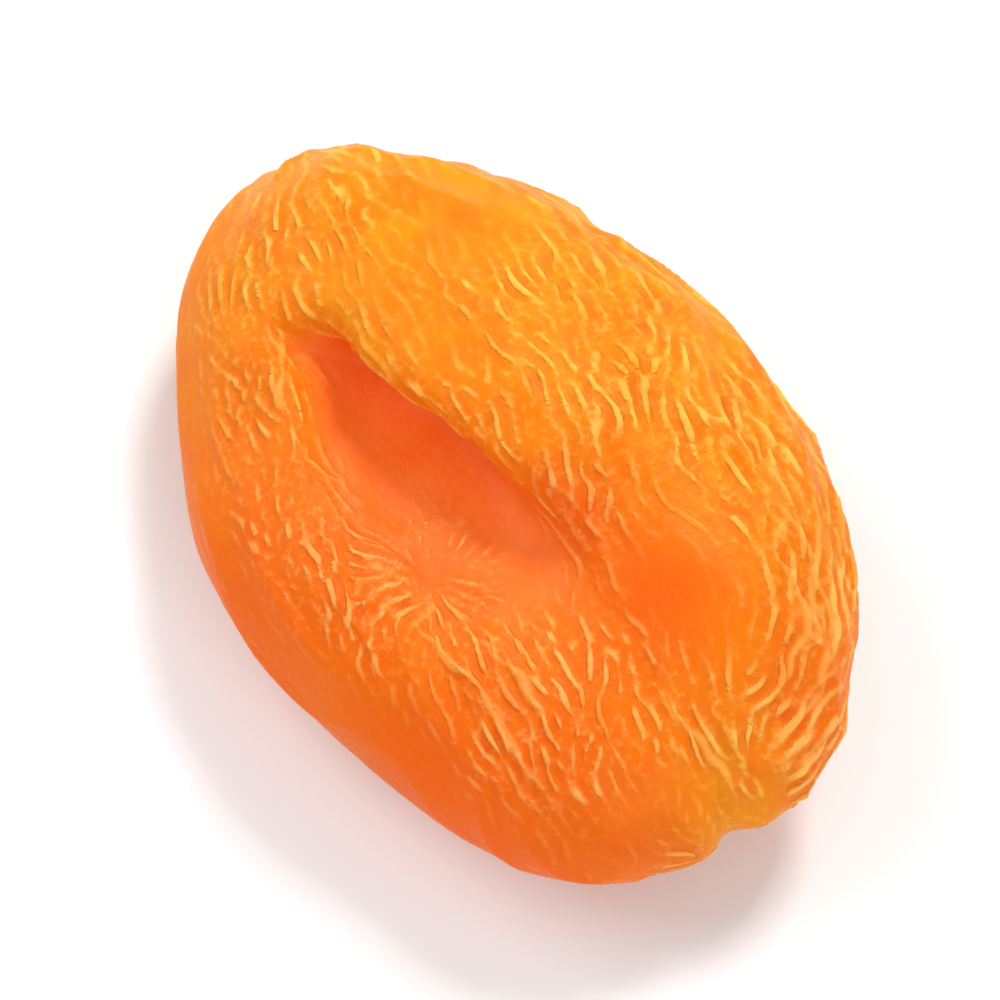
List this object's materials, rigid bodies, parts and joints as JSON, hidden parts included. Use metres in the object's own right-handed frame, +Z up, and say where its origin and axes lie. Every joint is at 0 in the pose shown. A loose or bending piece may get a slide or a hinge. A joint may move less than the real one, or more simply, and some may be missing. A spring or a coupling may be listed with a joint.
{
  "type": "dried apricot",
  "caption": "Whole pitted dried apricot lying flat, an oval pillow of wrinkled orange flesh with a rolled lip over a sunken hollow.",
  "frame": {"origin": "on the floor, under the centre of the fruit's bounding box", "axes": "+X along the long axis to the notched stem end, +Y to the fat lobe with the lip, +Z up, out of the folded side"},
  "size_m": [0.0424, 0.0286, 0.0142],
  "materials": {
    "dried_apricot": "satin"
  },
  "bodies": {
    "root": {"dried_apricot": "dried_apricot"}
  },
  "joints": []
}
